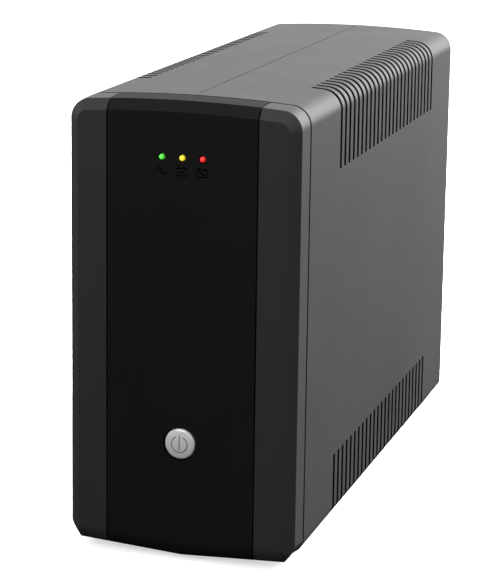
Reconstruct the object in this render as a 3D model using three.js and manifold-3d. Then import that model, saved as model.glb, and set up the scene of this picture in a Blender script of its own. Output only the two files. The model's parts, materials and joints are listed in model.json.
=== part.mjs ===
// A tower uninterruptible power supply: two moulded case halves around a steel tray that carries two
// sealed batteries, a mains transformer and a power board, with a front bezel (indicator lamps and a
// power button) and a recessed rear panel (fan, outlets, inlet, breaker and data ports).
// Millimetres, +Z up, front towards -Y. The origin is on the floor, under the middle of the case.
import * as THREE from "three";
import { mergeVertices } from "three/addons/utils/BufferGeometryUtils.js";
import Module from "manifold-3d";

const wasm = await Module();
wasm.setup();

// ---- driving dimensions ----
const WIDTH = 115;
const DEPTH = 312;
const FOOT = 3.8; // height of the rubber feet
const CASE_FLOOR = 2.2; // lowest line of the case, along its centre
const CASE_TOP = 226.8;
const WALL = 2.5;
const GAP = 0.3; // clearance between pieces that touch
const TOP = { radius: 10, crown: 1.7 }; // gently arched
const BOTTOM = { radius: 7, crown: 2.8 }; // two flat slopes that meet at the centre
const BEZEL_DEPTH = 18;
const CHAMFER = { depth: 4.2, side: 5, bottom: 7.5 };
const PANEL = { half: 37.7, thick: 2 };
const BEZEL_WALL = 5;
const SLOT = { count: 25, pitch: 8, width: 3, first: 70, top_x: 41.7, top_z: 186, low_x: 46, low_z: 39 };
const LAMP = { z: 199.5, spacing: 10.15, radius: 1.5, hole: 1.95, proud: 0.2 };
const BOARD_FACE = 17.7; // front of the lamp board, measured from the front face
const POSTS = [[-24, 46], [24, 46], [-24, 206], [24, 206]]; // bezel posts that carry the lamp board
const BUTTON = { z: 59.7, radius: 7.65, hole: 8.35, proud: 0.8, travel: 1.5 };
const REAR_FACE = 306; // outer face of the rear panel, measured from the front face
const REAR_THICK = 2;
const LIP = 6; // how far the bezel's inner lip reaches into the case
const RIM = { step: 2, thick: 1.6 }; // ribs in the case on both sides of the rear panel
const TRAY = { half: 52, z: 9, thick: 1.5, front: 28, back: 284, lip: 12 };
const SCREW = { head: 3, shank: 1.5, head_z: 4.2, seat_z: 5.8, boss: 4.6 };
const SCREW_SPOTS = [[-30, 60], [-30, 250], [30, 60], [30, 250]]; // x, depth from the front face
const FOOT_SPOTS = {
  front_left: [-38, 40],
  front_right: [38, 40],
  rear_left: [-38, 280],
  rear_right: [38, 280],
};
const BATTERY = { width: 65, length: 151, height: 94, x: -17.5, y: 30, tab: 5.6 };
const TERMINAL = { offset: 24, half: 3.2, rise: 5.3 };
const SPACER = 7;
const CORE = { width: 86, length: 72, height: 88, y: 200, leg: 15, window: 15, yoke: 18, coil: 16 };
const BOARD = { x: 24, thick: 1.6, front: 30, back: 186, low: 22, high: 206 };
const LEAD = { radius: 1.6, steps: 22, sides: 8 };
const FAN = { size: 60, thick: 15, z: 184, bore: 27.5, front: 288.7, hub: 11, blades: 7 };

// places on the rear panel as x, z
const OUTLETS = [[-24.5, 121], [24.5, 121], [-24.5, 90], [24.5, 90]];
const INLET = [-18, 52];
const BREAKER = [31, 52];
const PINS = [["line", -7, -1], ["neutral", 7, -1], ["earth", 0, 2]]; // offsets inside a power socket
const USB = [-30, 144];
const SURGE = [20, 144];
const SOCKET = {
  flange: [30, 25],
  body: [27, 20.5],
  mouth: [24.4, 16.6],
  core: [19, 11.4],
  depth: 20,
  recess: 17,
};
const BREAKER_SIZE = { half: 8, depth: 32, neck: 5, bore: 3.8 };
const JACK = { size: [11.8, 9], offset: 7.6, drop: 0.8, depth: 12 };

const ARC_STEPS = 2; // outline points for each crown; a corner arc has twice as many
const HALF = WIDTH / 2;
const FRONT = (BUTTON.proud - DEPTH) / 2; // y of the front face; the button stands proud of it
const FLOOR = TRAY.z + TRAY.thick + GAP; // what stands on the tray starts here
const UPPER = FLOOR + BATTERY.height + SPACER + 2 * GAP; // floor of the upper battery

// ---- materials ----
const finish = (color, roughness, metalness = 0) =>
  new THREE.MeshStandardMaterial({ color, roughness, metalness });
const MATERIAL = {
  case: finish(0x2b2d2e, 0.5),
  panel: finish(0x121212, 0.42),
  silver: finish(0xb9b8b6, 0.35, 0.6),
  green: finish(0x35e02c, 0.2),
  yellow: finish(0xf5ea1c, 0.2),
  red: finish(0xf0201c, 0.2),
  rubber: finish(0x151515, 0.9),
  steel: finish(0x9a9c9e, 0.4, 0.8),
  black_steel: finish(0x1c1d1e, 0.5, 0.3),
  nylon: finish(0x101011, 0.55),
  board: finish(0x1f5a34, 0.5),
  brass: finish(0xb08d4a, 0.35, 0.9),
  battery: finish(0x3a3d42, 0.6),
  copper: finish(0x9c5a2c, 0.4, 0.5),
  aluminium: finish(0xb6b9bc, 0.35, 0.9),
  red_wire: finish(0xa81c18, 0.5),
  black_wire: finish(0x141414, 0.5),
};

// ---- solids ----
function solid(geometry) {
  const g = geometry.clone();
  for (const name of ["normal", "uv"]) g.deleteAttribute(name);
  const merged = mergeVertices(g, 1e-4);
  const triVerts = new Uint32Array(merged.index.array);
  const vertProperties = merged.attributes.position.array;
  return new wasm.Manifold(new wasm.Mesh({ numProp: 3, vertProperties, triVerts }));
}

function geometryOf(manifold) {
  const { numProp, numVert, vertProperties, triVerts } = manifold.getMesh();
  const points = new Float32Array(numVert * 3);
  for (let i = 0; i < numVert; i++) {
    points.set(vertProperties.subarray(i * numProp, i * numProp + 3), i * 3);
  }
  const g = new THREE.BufferGeometry();
  g.setAttribute("position", new THREE.BufferAttribute(points, 3));
  g.setIndex(new THREE.BufferAttribute(new Uint32Array(triVerts), 1));
  g.computeVertexNormals();
  return g;
}

// A box between two corners; y is measured from the front face.
function block([x0, y0, z0], [x1, y1, z1]) {
  const g = new THREE.BoxGeometry(x1 - x0, y1 - y0, z1 - z0);
  return solid(g.translate((x0 + x1) / 2, FRONT + (y0 + y1) / 2, (z0 + z1) / 2));
}

// A cylinder along Y between two depths from the front face.
function disc(radius, x, z, y0, y1, sides = 24) {
  const g = new THREE.CylinderGeometry(radius, radius, y1 - y0, sides);
  return solid(g.translate(x, FRONT + (y0 + y1) / 2, z));
}

// An upright cylinder at x and a depth from the front face.
function post(radius, x, y, z0, z1, sides = 16) {
  const g = new THREE.CylinderGeometry(radius, radius, z1 - z0, sides).rotateX(Math.PI / 2);
  return solid(g.translate(x, FRONT + y, (z0 + z1) / 2));
}

// A turned piece along Y: profile points are [radius, distance from y0], in order along the outside.
function turned(profile, x, z, y0, sides = 24) {
  const points = profile.map(([r, d]) => new THREE.Vector2(r, d));
  return solid(new THREE.LatheGeometry(points, sides).translate(x, FRONT + y0, z));
}

// A flat shape drawn in x and z, extruded along Y between two depths.
function prism(shape, y0, y1, divisions = ARC_STEPS) {
  const options = { depth: y1 - y0, bevelEnabled: false, curveSegments: divisions };
  const g = new THREE.ExtrudeGeometry(shape, options);
  return solid(g.rotateX(Math.PI / 2).translate(0, FRONT + y1, 0));
}

const union = (first, ...rest) => rest.reduce((all, part) => all.add(part), first);
const cut = (first, ...rest) => rest.reduce((left, part) => left.subtract(part), first);

// ---- case cross-section: rounded corners that run smoothly into an arched top and a ridged floor ----
function topCorner(hw, radius) {
  const tilt = Math.atan((2 * TOP.crown) / (hw - radius));
  const reach = hw - radius + radius * Math.sin(tilt);
  const rise = (reach * Math.tan(tilt)) / 2;
  return { tilt, reach, rise, drop: radius * Math.cos(tilt) + rise };
}

function bottomCorner(hw, radius) {
  const tilt = Math.atan(BOTTOM.crown / (hw - radius));
  const reach = hw - radius + radius * Math.sin(tilt);
  return { tilt, drop: radius * Math.cos(tilt) + reach * Math.tan(tilt) };
}

function section(side, top = side, bottom = side) {
  const hw = HALF - side;
  const rt = Math.max(TOP.radius - side, 1.5);
  const rb = Math.max(BOTTOM.radius - side, 1.5);
  const t = topCorner(hw, rt);
  const b = bottomCorner(hw, rb);
  const ceiling = CASE_TOP - top;
  const floor = CASE_FLOOR + bottom;
  const s = new THREE.Shape();
  const quarter = Math.PI / 2;
  s.absarc(hw - rt, ceiling - t.drop, rt, 0, quarter - t.tilt, false);
  s.quadraticCurveTo(t.reach / 2, ceiling, 0, ceiling);
  s.quadraticCurveTo(-t.reach / 2, ceiling, -t.reach, ceiling - t.rise);
  s.absarc(rt - hw, ceiling - t.drop, rt, quarter + t.tilt, Math.PI, false);
  s.absarc(rb - hw, floor + b.drop, rb, Math.PI, 3 * quarter - b.tilt, false);
  s.lineTo(0, floor);
  s.absarc(hw - rb, floor + b.drop, rb, b.tilt - quarter, 0, false);
  return s;
}

// A closed loft through sections with the same number of points, from the back forwards.
function loft(rings, divisions = ARC_STEPS) {
  const apart = (p, i, all) => p.distanceTo(all[(i + 1) % all.length]) > 1e-4;
  const loops = rings.map(({ shape }) => shape.getPoints(divisions).filter(apart));
  const n = loops[0].length;
  const position = rings.flatMap(({ y }, k) => loops[k].flatMap((p) => [p.x, FRONT + y, p.y]));
  const index = [];
  for (let k = 0; k + 1 < rings.length; k++) {
    for (let i = 0; i < n; i++) {
      const a = k * n + i;
      const b = k * n + ((i + 1) % n);
      index.push(a, b, a + n, b, b + n, a + n);
    }
  }
  const last = (rings.length - 1) * n;
  for (const [a, b, c] of THREE.ShapeUtils.triangulateShape(loops[0], [])) index.push(a, c, b);
  for (const [a, b, c] of THREE.ShapeUtils.triangulateShape(loops.at(-1), [])) {
    index.push(last + a, last + b, last + c);
  }
  const g = new THREE.BufferGeometry();
  g.setAttribute("position", new THREE.Float32BufferAttribute(position, 3));
  g.setIndex(index);
  return solid(g);
}

// The bezel's outer form, or a copy of it shrunk by an inset, from the front face to depth back.
function bezelForm(inset, back = BEZEL_DEPTH) {
  const side = CHAMFER.side + inset * 0.4;
  return loft([
    { y: back, shape: section(inset) },
    { y: CHAMFER.depth + inset * 0.6, shape: section(inset) },
    { y: inset, shape: section(side, side, CHAMFER.bottom + inset * 0.4) },
  ]);
}

// ---- the object ----
const ups = new THREE.Group();
function add(name, manifold, material) {
  const mesh = new THREE.Mesh(geometryOf(manifold), material);
  mesh.name = name;
  ups.add(mesh);
}

// A band just inside the case wall, between two depths.
const innerRib = (y0, y1) => cut(
  prism(section(WALL - 0.5), y0, y1),
  prism(section(WALL + RIM.step), y0 - 1, y1 + 1),
);

function caseTube() {
  const inner = REAR_FACE - REAR_THICK - GAP;
  return union(
    cut(prism(section(0), BEZEL_DEPTH + GAP, DEPTH), prism(section(WALL), BEZEL_DEPTH, DEPTH + 1)),
    innerRib(inner - RIM.thick, inner),
    innerRib(REAR_FACE + GAP, REAR_FACE + GAP + RIM.thick),
  );
}

// The vents of one side (sign +1 right, -1 left): rows of slots round the upper and the lower corner.
function vents(sign) {
  const bars = [];
  const bar = (near, y, z0, z1) => {
    const edges = [sign * near, sign * (HALF + 1)].sort((a, b) => a - b);
    bars.push(block([edges[0], y, z0], [edges[1], y + SLOT.width, z1]));
  };
  for (let i = 0; i < SLOT.count; i++) {
    const y = SLOT.first + i * SLOT.pitch;
    bar(SLOT.top_x, y, SLOT.top_z, CASE_TOP + 1);
    bar(SLOT.low_x, y, 0, SLOT.low_z);
  }
  return bars;
}

function caseShells() {
  const tube = caseTube();
  const right = block([GAP / 2, 0, 0], [HALF + 1, DEPTH + 1, CASE_TOP + 1]);
  const left = block([-HALF - 1, 0, 0], [-GAP / 2, DEPTH + 1, CASE_TOP + 1]);
  for (const [name, sign, half] of [["left_case_shell", -1, left], ["right_case_shell", 1, right]]) {
    let shell = cut(tube.intersect(half), ...vents(sign));
    for (const [x, y] of SCREW_SPOTS.filter((spot) => Math.sign(spot[0]) === sign)) {
      shell = shell.add(post(SCREW.boss, x, y, SCREW.seat_z, TRAY.z - GAP));
      shell = shell.subtract(post(SCREW.head + 0.4, x, y, 0, SCREW.seat_z));
      shell = shell.subtract(post(SCREW.shank + GAP, x, y, 0, TRAY.z));
    }
    add(name, shell, MATERIAL.case);
  }
}

// The case screws go up through the floor of each half into the steel tray.
function caseScrews() {
  const { head, shank, head_z, seat_z } = SCREW;
  SCREW_SPOTS.forEach(([x, y], i) => {
    const pan = post(head, x, y, head_z, seat_z - 0.1);
    const slot = block([x - 2, y - 0.4, head_z - 1], [x + 2, y + 0.4, head_z + 0.7]);
    const cross = block([x - 0.4, y - 2, head_z - 1], [x + 0.4, y + 2, head_z + 0.7]);
    const body = post(shank, x, y, seat_z - 0.5, TRAY.z + TRAY.thick - 0.1);
    add(`case_screw_${i + 1}`, union(cut(pan, slot, cross), body), MATERIAL.black_steel);
  });
}

function feet() {
  for (const [place, [x, y]] of Object.entries(FOOT_SPOTS)) {
    const g = new THREE.CylinderGeometry(6, 7, FOOT, 20).rotateX(Math.PI / 2);
    add(`foot_${place}`, solid(g.translate(x, FRONT + y, FOOT / 2)), MATERIAL.rubber);
  }
}

const lampSpots = [-1, 0, 1].map((k) => k * LAMP.spacing);

// Round holes for the button and the lamps, right through the front.
const frontHoles = (button, lamp) => [
  disc(button, 0, BUTTON.z, -1, BEZEL_DEPTH, 32),
  ...lampSpots.map((x) => disc(lamp, x, LAMP.z, -1, BEZEL_DEPTH, 16)),
];

const lane = (half) => block([-half, -1, 0], [half, BEZEL_DEPTH + 1, CASE_TOP + 1]);

function frontBezel() {
  const seat = bezelForm(PANEL.thick).intersect(lane(PANEL.half + 1));
  const lip = prism(section(WALL + GAP), BEZEL_DEPTH - 1, BEZEL_DEPTH + LIP);
  const cavity = prism(section(WALL + PANEL.thick), BEZEL_WALL, BEZEL_DEPTH + LIP + 1);
  let frame = union(cut(bezelForm(0), lane(PANEL.half)), seat, lip);
  frame = cut(frame, cavity, ...frontHoles(BUTTON.hole, LAMP.hole + 0.4));
  for (const [x, z] of POSTS) frame = frame.add(disc(3, x, z, BEZEL_WALL - 1, BOARD_FACE - GAP, 12));
  add("front_bezel", frame, MATERIAL.case);
}

function frontPanel() {
  const skin = bezelForm(0).intersect(lane(PANEL.half - GAP));
  const inside = bezelForm(PANEL.thick - GAP, BEZEL_DEPTH + 1);
  add("front_panel", cut(skin, inside, ...frontHoles(BUTTON.hole, LAMP.hole)), MATERIAL.panel);
}

function lamps() {
  const r = LAMP.radius;
  const back = BOARD_FACE - GAP + LAMP.proud;
  const tip = [[0, 0], [r * 0.7, 0.25], [r, 1]];
  const lens = [...tip, [r, back - 3], [r + 0.5, back - 3], [r + 0.5, back], [0, back]];
  ["green", "yellow", "red"].forEach((colour, i) => {
    add(`lamp_${colour}`, turned(lens, lampSpots[i], LAMP.z, -LAMP.proud, 16), MATERIAL[colour]);
  });
}

function powerButton() {
  const r = BUTTON.radius;
  const face = [[0, 0], [r * 0.6, 0.12], [r - 0.6, 0.45], [r, 1.1]];
  const skirt = [[r, 6.3], [r + 1.6, 6.3], [r + 1.6, 7.5], [2, 7.5], [2, 11], [0, 11]];
  add("power_button", turned([...face, ...skirt], 0, BUTTON.z, -BUTTON.proud, 32), MATERIAL.silver);
  const pin = [[0, 0], [1.7, 0], [1.7, 2.4], [0, 2.4]];
  add("switch_plunger", turned(pin, 0, BUTTON.z, 10.5, 16), MATERIAL.nylon);
}

function frontBoard() {
  const body = block([-3, 11.4 + BUTTON.travel, BUTTON.z - 3], [3, BOARD_FACE - GAP, BUTTON.z + 3]);
  add("button_switch", cut(body, disc(2, 0, BUTTON.z, 11, 15.2, 16)), MATERIAL.black_steel);
  const board = block([-30, BOARD_FACE, 40], [30, BOARD_FACE + 1.6, CASE_TOP - 15]);
  add("front_board", board, MATERIAL.board);
}

function tray() {
  const { half, z, thick, front, back, lip } = TRAY;
  const plate = union(
    block([-half, front, z], [half, back, z + thick]),
    block([6 - half, front, z], [half - 6, front + thick, z + lip]),
    block([6 - half, back - thick, z], [half - 6, back, z + lip]),
  );
  const holes = SCREW_SPOTS.map(([x, y]) => post(SCREW.shank + 0.2, x, y, z - 1, z + thick + 1));
  add("base_tray", cut(plate, ...holes), MATERIAL.steel);
}

// A sealed battery: a jar with a lid that stands inside its edge, and two blade terminals.
function battery(level, z) {
  const { width, length, height, x, y } = BATTERY;
  const layer = (inset, low, high) => block(
    [x - width / 2 + inset, y + inset, z + low],
    [x + width / 2 - inset, y + length - inset, z + high],
  );
  const jar = layer(0, 0, height - 6);
  const neck = layer(2, height - 7, height - 3);
  const lid = layer(1, height - 4, height);
  add(`battery_${level}`, union(jar, neck, lid), MATERIAL.battery);
  terminal(`terminal_${level}_negative`, x - TERMINAL.offset, z + height + GAP);
  terminal(`terminal_${level}_positive`, x + TERMINAL.offset, z + height + GAP);
}

function terminal(name, x, z) {
  const { half, rise } = TERMINAL;
  const y = BATTERY.y + 6;
  const foot = block([x - half, y, z], [x + half, y + 8, z + 0.8]);
  const blade = block([x - half, y, z], [x + half, y + 0.8, z + rise]);
  add(name, union(foot, blade), MATERIAL.brass);
}

function batteries() {
  const { width, length, height, x, y } = BATTERY;
  battery("lower", FLOOR);
  battery("upper", UPPER);
  const seat = FLOOR + height + GAP;
  add("battery_spacer", block([x - 30, y + 30, seat], [x + 30, y + 140, seat + SPACER]), MATERIAL.nylon);

  const reach = width / 2 + GAP;
  const thick = 1.2;
  const mid = y + length / 2;
  const top = UPPER + height + GAP;
  const hoop = cut(
    block([x - reach - thick, mid - 12, FLOOR], [x + reach + thick, mid + 12, top + thick]),
    block([x - reach, mid - 13, FLOOR - 1], [x + reach, mid + 13, top]),
  );
  add("battery_strap", hoop, MATERIAL.steel);
}

// The transformer: a core with two windows, a winding round its middle leg and a clamp over it.
function transformer() {
  const { width, length, height, y, leg, window, yoke, coil } = CORE;
  const z = FLOOR + 2;
  const half = width / 2;
  const opening = (x) => block([x, y, z + yoke], [x + window, y + length, z + height - yoke]);
  const stack = block([-half, y + coil, z], [half, y + length - coil, z + height]);
  const core = cut(stack, opening(leg - half), opening(half - leg - window));
  add("transformer_core", core, MATERIAL.black_steel);

  const tongue = half - leg - window + GAP;
  const reach = half - leg - GAP;
  const winding = cut(
    block([-reach, y, z + yoke + GAP], [reach, y + length, z + height - yoke - GAP]),
    block([-tongue, y + coil - GAP, z], [tongue, y + length - coil + GAP, z + height]),
  );
  add("transformer_winding", winding, MATERIAL.copper);
  transformerClamp(half + GAP, z);
}

function transformerClamp(reach, z) {
  const { length, height, y } = CORE;
  const thick = 1.5;
  const top = z + height + GAP;
  const hoop = cut(
    block([-reach - thick, y + 20, FLOOR], [reach + thick, y + length - 20, top + thick]),
    block([-reach, y + 19, FLOOR - 1], [reach, y + length - 19, top]),
  );
  add("transformer_clamp", hoop, MATERIAL.steel);
}

function heatSink(face) {
  const base = block([face, 60, 130], [face + 4, 102, 180]);
  const fins = [];
  for (let i = 0; i < 6; i++) {
    const y = 60.5 + i * 7.9;
    fins.push(block([face + 3, y, 130], [face + 20, y + 1.5, 180]));
  }
  add("heat_sink", union(base, ...fins), MATERIAL.aluminium);
}

function powerBoard() {
  const { x, thick, front, back, low, high } = BOARD;
  add("power_board", block([x, front, low], [x + thick, back, high]), MATERIAL.board);
  const face = x + thick + GAP;
  heatSink(face);
  [44, 74].forEach((y, i) => {
    add(`relay_${i + 1}`, block([face, y, 84], [face + 15, y + 19, 112]), MATERIAL.nylon);
  });
  const can = new THREE.CylinderGeometry(9, 9, 20, 20).rotateZ(Math.PI / 2);
  add("capacitor", solid(can.translate(face + 10, FRONT + 56, 56)), MATERIAL.black_steel);
}

// A round lead along a smooth path of points given as x, depth from the front face, z.
function lead(name, points, material) {
  const path = new THREE.CatmullRomCurve3(points.map(([x, y, z]) => new THREE.Vector3(x, FRONT + y, z)));
  const ring = new THREE.Shape();
  ring.absarc(0, 0, LEAD.radius, 0, 2 * Math.PI, false);
  const options = { steps: LEAD.steps, curveSegments: LEAD.sides / 2, extrudePath: path };
  const g = new THREE.ExtrudeGeometry(ring, options);
  add(name, solid(g), material);
}

// The leads leave the front ends of the batteries, drop in front of them and pass the board's front edge.
function batteryLeads() {
  const left = BATTERY.x - TERMINAL.offset;
  const right = BATTERY.x + TERMINAL.offset;
  const start = BATTERY.y + 4;
  const clear = BATTERY.y - 4.5;
  const tab = 3.6;
  const top = UPPER + BATTERY.height;
  const low = FLOOR + BATTERY.height;
  const edge = 31;
  lead("battery_lead_positive", [
    [right, start, top + tab], [right + 5, BATTERY.y - 1, top + tab], [22, clear, top - 2],
    [edge - 4, clear, top - 7], [edge, BATTERY.y + 3, top - 13], [edge, BATTERY.y + 12, top - 16],
  ], MATERIAL.red_wire);
  lead("battery_link", [
    [left, start, top + tab], [left + 3, clear + 2, top + tab], [left + 6, clear, top - 6],
    [left + 24, clear, top - 55], [right - 4, clear, low + 8],
    [right, clear + 2, low + tab], [right, start, low + tab],
  ], MATERIAL.black_wire);
  lead("battery_lead_negative", [
    [left, start, low + tab], [left + 3, clear + 2, low + tab], [left + 7, clear, low - 6],
    [0, clear, low - 36], [22, clear, low - 38], [edge - 3, clear, low - 37],
    [edge + 1, BATTERY.y + 4, low - 36], [edge + 1, BATTERY.y + 14, low - 36],
  ], MATERIAL.black_wire);
}

// ---- rear panel and what is mounted in it ----
const rect = ([w, h], [x, z], y0, y1) => block([x - w / 2, y0, z - h / 2], [x + w / 2, y1, z + h / 2]);

// The appliance-coupler outline: a rectangle with its two upper corners cut off.
function coupler([w, h], [x, z], corner, y0, y1) {
  const s = new THREE.Shape();
  s.moveTo(x - w / 2, z - h / 2).lineTo(x + w / 2, z - h / 2);
  s.lineTo(x + w / 2, z + h / 2 - corner).lineTo(x + w / 2 - corner, z + h / 2);
  s.lineTo(x - w / 2 + corner, z + h / 2).lineTo(x - w / 2, z + h / 2 - corner);
  return prism(s, y0, y1);
}

function rearPanel() {
  const inner = REAR_FACE - REAR_THICK;
  const bigger = ([w, h]) => [w + 2 * GAP, h + 2 * GAP];
  const plate = cut(
    prism(section(WALL + GAP), inner, REAR_FACE),
    disc(FAN.bore, 0, FAN.z, inner - 1, REAR_FACE + 1, 32),
    ...OUTLETS.map((at) => rect(bigger(SOCKET.body), at, inner - 1, REAR_FACE + 1)),
    rect(bigger(SOCKET.body), INLET, inner - 1, REAR_FACE + 1),
    disc(5 + GAP, ...BREAKER, inner - 1, REAR_FACE + 1, 20),
    rect([12.6, 11.6], USB, inner - 1, REAR_FACE + 1),
    rect([32.6, 14.6], SURGE, inner - 1, REAR_FACE + 1),
  );
  add("rear_panel", plate, MATERIAL.case);
}

function outlets() {
  const face = REAR_FACE + GAP + 1.5;
  const floor = face - SOCKET.recess;
  OUTLETS.forEach((at, i) => {
    const flange = rect(SOCKET.flange, at, REAR_FACE + GAP, face);
    const body = rect(SOCKET.body, at, face - SOCKET.depth, face);
    const mouth = coupler(SOCKET.mouth, at, 4.5, floor, face + 1);
    add(`outlet_${i + 1}_housing`, cut(union(flange, body), mouth), MATERIAL.nylon);
    const slots = PINS.map(([, dx, dz]) => rect([2.4, 4.6], [at[0] + dx, at[1] + dz], floor + 2, face + 1));
    const core = coupler(SOCKET.core, at, 3, floor + GAP, face - 0.5);
    add(`outlet_${i + 1}_core`, cut(core, ...slots), MATERIAL.nylon);
  });
}

function inlet() {
  const face = REAR_FACE + GAP + 2;
  const floor = face - SOCKET.recess;
  const ears = rect([48, 23], INLET, REAR_FACE + GAP, face);
  const body = rect(SOCKET.body, INLET, face - SOCKET.depth - 1, face);
  const mouth = coupler(SOCKET.mouth, INLET, 4.5, floor, face + 1);
  const holes = [-20, 20].map((dx) => disc(1.7, INLET[0] + dx, INLET[1], REAR_FACE - 1, face + 1, 12));
  add("inlet_housing", cut(union(ears, body), mouth, ...holes), MATERIAL.nylon);
  for (const [name, dx, dz] of PINS) {
    const pin = rect([2, 4], [INLET[0] + dx, INLET[1] + dz], floor + GAP, face - 1);
    add(`inlet_pin_${name}`, pin, MATERIAL.brass);
  }
}

function breaker() {
  const { half, depth, neck, bore } = BREAKER_SIZE;
  const inner = REAR_FACE - REAR_THICK;
  const box = rect([2 * half, 2 * half], BREAKER, inner - depth, inner - GAP);
  const collar = disc(neck, ...BREAKER, inner - 1, REAR_FACE + 3, 20);
  const pocket = disc(bore, ...BREAKER, REAR_FACE - 12, REAR_FACE + 4, 20);
  add("breaker_body", cut(union(box, collar), pocket), MATERIAL.nylon);
  const hexagon = disc(half, ...BREAKER, REAR_FACE + GAP, REAR_FACE + 2.3, 6);
  const thread = disc(neck + GAP, ...BREAKER, REAR_FACE, REAR_FACE + 4, 20);
  add("breaker_nut", cut(hexagon, thread), MATERIAL.steel);
  const cap = [[0, 0], [3.5, 0], [3.5, 14], [2.9, 14.6], [0, 14.8]];
  add("breaker_button", turned(cap, ...BREAKER, REAR_FACE - 9.3, 20), MATERIAL.nylon);
}

function dataPorts() {
  const face = REAR_FACE + 0.8;
  const shell = cut(rect([12, 11], USB, face - 16, face), rect([9, 8.2], USB, face - 9, face + 1));
  const tongue = rect([5.6, 3.2], USB, face - 9.5, face - 1);
  add("usb_port", union(shell, tongue), MATERIAL.steel);
  const { size, offset, drop, depth } = JACK;
  const mouths = [-offset, offset].map((dx) => {
    const at = [SURGE[0] + dx, SURGE[1] - drop];
    return rect(size, at, face - depth, face + 1);
  });
  add("surge_jacks", cut(rect([32, 14], SURGE, face - 16, face), ...mouths), MATERIAL.nylon);
}

// A bar across the fan's middle, turned by 45 degrees plus quarter turns.
function cross(length, depth, height, y, quarter) {
  const g = new THREE.BoxGeometry(length, depth, height);
  return solid(g.rotateY(Math.PI / 4 + (quarter * Math.PI) / 2).translate(0, FRONT + y, FAN.z));
}

function fanFrame() {
  const back = FAN.front + FAN.thick;
  const opening = disc(FAN.bore, 0, FAN.z, FAN.front - 1, back + 1, 32);
  const ring = cut(rect([FAN.size, FAN.size], [0, FAN.z], FAN.front, back), opening);
  const arms = [0, 1].map((k) => cross(FAN.size - 4, 2.4, 4, FAN.front + 1.2, k));
  const motor = disc(10, 0, FAN.z, FAN.front, FAN.front + 3, 20);
  const spindle = disc(2, 0, FAN.z, FAN.front + 2, FAN.front + 10, 12);
  add("fan_frame", union(ring, motor, spindle, ...arms), MATERIAL.nylon);
}

function fanRotor() {
  const { hub, blades, front } = FAN;
  const y0 = front + 3.4;
  const y1 = front + FAN.thick - 1;
  const bore = disc(2.3, 0, FAN.z, y0 - 1, front + 10.6, 12);
  let rotor = cut(disc(hub, 0, FAN.z, y0, y1, 20), bore);
  for (let i = 0; i < blades; i++) {
    const g = new THREE.BoxGeometry(16.5, 1.4, 14).rotateX(0.65).translate(hub + 7.2, 0, 0);
    g.rotateY((i * 2 * Math.PI) / blades).translate(0, FRONT + (y0 + y1) / 2, FAN.z);
    rotor = rotor.add(solid(g));
  }
  add("fan_rotor", rotor, MATERIAL.nylon);
}

function fanGuard() {
  const y = REAR_FACE + GAP;
  const wire = 1.6;
  const hoops = [9, 18, 27].map((r) => cut(
    disc(r + wire / 2, 0, FAN.z, y, y + wire, 20),
    disc(r - wire / 2, 0, FAN.z, y - 1, y + 3, 20),
  ));
  const spokes = [0, 1].map((k) => cross(70, wire, wire, y + wire / 2, k));
  add("fan_guard", union(...hoops.slice(0, 1), ...spokes, ...hoops.slice(1)), MATERIAL.steel);
}

caseShells();
caseScrews();
feet();
frontBezel();
frontPanel();
lamps();
powerButton();
frontBoard();
tray();
batteries();
batteryLeads();
transformer();
powerBoard();
rearPanel();
outlets();
inlet();
breaker();
dataPorts();
fanFrame();
fanRotor();
fanGuard();

export default ups;
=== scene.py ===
"""Looks for the tower uninterruptible power supply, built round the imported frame.

+Z up, front at -Y. The object's lengths are in millimetres here and are scaled to metres by MM;
the camera, the lights, the floor and the materials' scales are in metres.
"""

import json
import math

import bmesh
import bpy
from mathutils import Matrix, Vector


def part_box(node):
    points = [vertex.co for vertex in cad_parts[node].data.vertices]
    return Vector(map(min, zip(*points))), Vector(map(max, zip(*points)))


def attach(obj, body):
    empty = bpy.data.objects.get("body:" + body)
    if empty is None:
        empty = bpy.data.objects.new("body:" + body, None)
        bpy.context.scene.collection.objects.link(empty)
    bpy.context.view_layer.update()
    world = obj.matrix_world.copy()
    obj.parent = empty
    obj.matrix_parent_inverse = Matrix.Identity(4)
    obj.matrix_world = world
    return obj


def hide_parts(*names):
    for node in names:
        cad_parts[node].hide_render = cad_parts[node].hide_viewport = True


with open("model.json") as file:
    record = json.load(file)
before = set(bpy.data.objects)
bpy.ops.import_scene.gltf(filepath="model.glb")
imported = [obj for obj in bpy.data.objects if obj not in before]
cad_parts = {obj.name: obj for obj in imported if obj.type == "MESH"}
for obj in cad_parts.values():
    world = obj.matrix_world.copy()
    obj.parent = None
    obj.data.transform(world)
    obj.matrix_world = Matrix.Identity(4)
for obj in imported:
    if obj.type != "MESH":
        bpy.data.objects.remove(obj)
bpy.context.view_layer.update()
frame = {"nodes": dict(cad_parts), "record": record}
NODES = frame["nodes"]
MM = 0.001


# ---------------------------------------------------------------- dimensions (mm, read from the frame)
def span(node, axis):
    low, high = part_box(node)
    return low[axis] / MM, high[axis] / MM


def middle_of(node):
    low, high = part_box(node)
    return (low + high) / 2 / MM


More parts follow.
